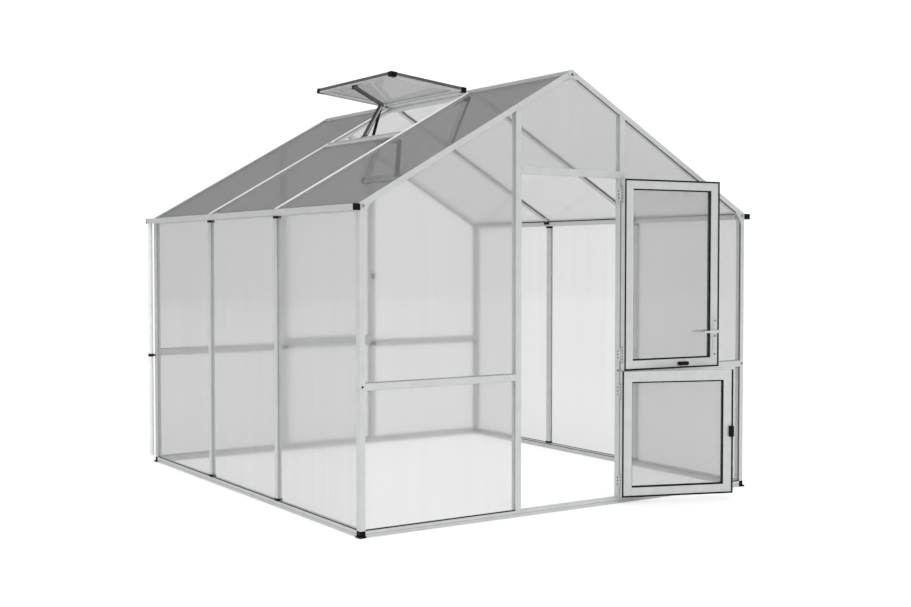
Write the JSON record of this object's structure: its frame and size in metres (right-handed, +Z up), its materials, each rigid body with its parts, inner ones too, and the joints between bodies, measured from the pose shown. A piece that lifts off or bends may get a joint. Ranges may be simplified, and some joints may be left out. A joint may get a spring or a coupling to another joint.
{
  "type": "glass greenhouse",
  "caption": "Gabled greenhouse with a light metal frame, frosted glass sheets, an open roof vent with opener, eave gutters with downpipes and a split hinged door standing open.",
  "frame": {"origin": "on the ground under the middle of the front sill in the doorway, half way through the depth of the front gable frame", "axes": "+X to the right seen from in front, +Y to the rear gable, +Z up"},
  "size_m": [2.798, 3.3032, 2.5449],
  "materials": {
    "alu": "satin natural metal",
    "steel": "satin",
    "black_plastic": "matt",
    "seal": "matt",
    "frosted_glass": "frosted",
    "roof_glass": "frosted"
  },
  "bodies": {
    "frame": {"corner_feet": "black_plastic", "front_sill": "alu", "rear_sill": "alu", "side_sills": "alu", "corner_posts": "alu", "door_posts": "alu", "door_header": "alu", "front_mid_rails": "alu", "rear_posts": "alu", "rear_mid_rails": "alu", "side_wall_posts": "alu", "post_end_clips": "black_plastic", "eave_beams": "alu", "gutters": "alu", "gutter_end_caps": "black_plastic", "downpipes": "alu", "downpipe_clips": "black_plastic", "gable_rafters": "alu", "roof_bars": "alu", "ridge_beam": "alu", "front_wall_glass": "frosted_glass", "rear_wall_glass": "frosted_glass", "side_wall_glass": "frosted_glass", "left_roof_glass": "roof_glass", "right_roof_glass": "roof_glass", "vent_sill": "alu", "vent_hinge": "steel", "vent_frame": "alu", "vent_corner_caps": "black_plastic", "vent_glass": "roof_glass", "vent_opener_brackets": "steel", "vent_opener_arms": "steel", "vent_opener_cylinder": "black_plastic", "vent_opener_rod": "steel", "fixed_hinge_leaves": "alu"},
    "upper_door": {"upper_door_stiles": "alu", "upper_door_rails": "alu", "upper_door_glass": "frosted_glass", "upper_door_seal": "seal", "upper_door_hinge_leaves": "alu", "door_lock_plates": "alu", "upper_door_latch": "black_plastic"},
    "lower_door": {"lower_door_stiles": "alu", "lower_door_rails": "alu", "lower_door_glass": "frosted_glass", "lower_door_seal": "seal", "lower_door_hinge_leaves": "alu", "lower_door_latch": "black_plastic"},
    "door_lever": {"door_levers": "alu"}
  },
  "joints": [
    {"name": "upper_door_hinge", "type": "hinge", "parent": "frame", "child": "upper_door", "pos_m": [0.345, -0.03, 1.345], "axis": [0, 0, 1], "range_deg": [-175, 0]},
    {"name": "lower_door_hinge", "type": "hinge", "parent": "frame", "child": "lower_door", "pos_m": [0.345, -0.03, 0.39], "axis": [0, 0, 1], "range_deg": [-160, 15]},
    {"name": "door_lever_turn", "type": "hinge", "parent": "upper_door", "child": "door_lever", "pos_m": [1.00005, -0.11542, 0.985], "axis": [-0.0872, -0.9962, 0], "range_deg": [0, 40], "stiffness_Nm_per_rad": 0.5}
  ]
}
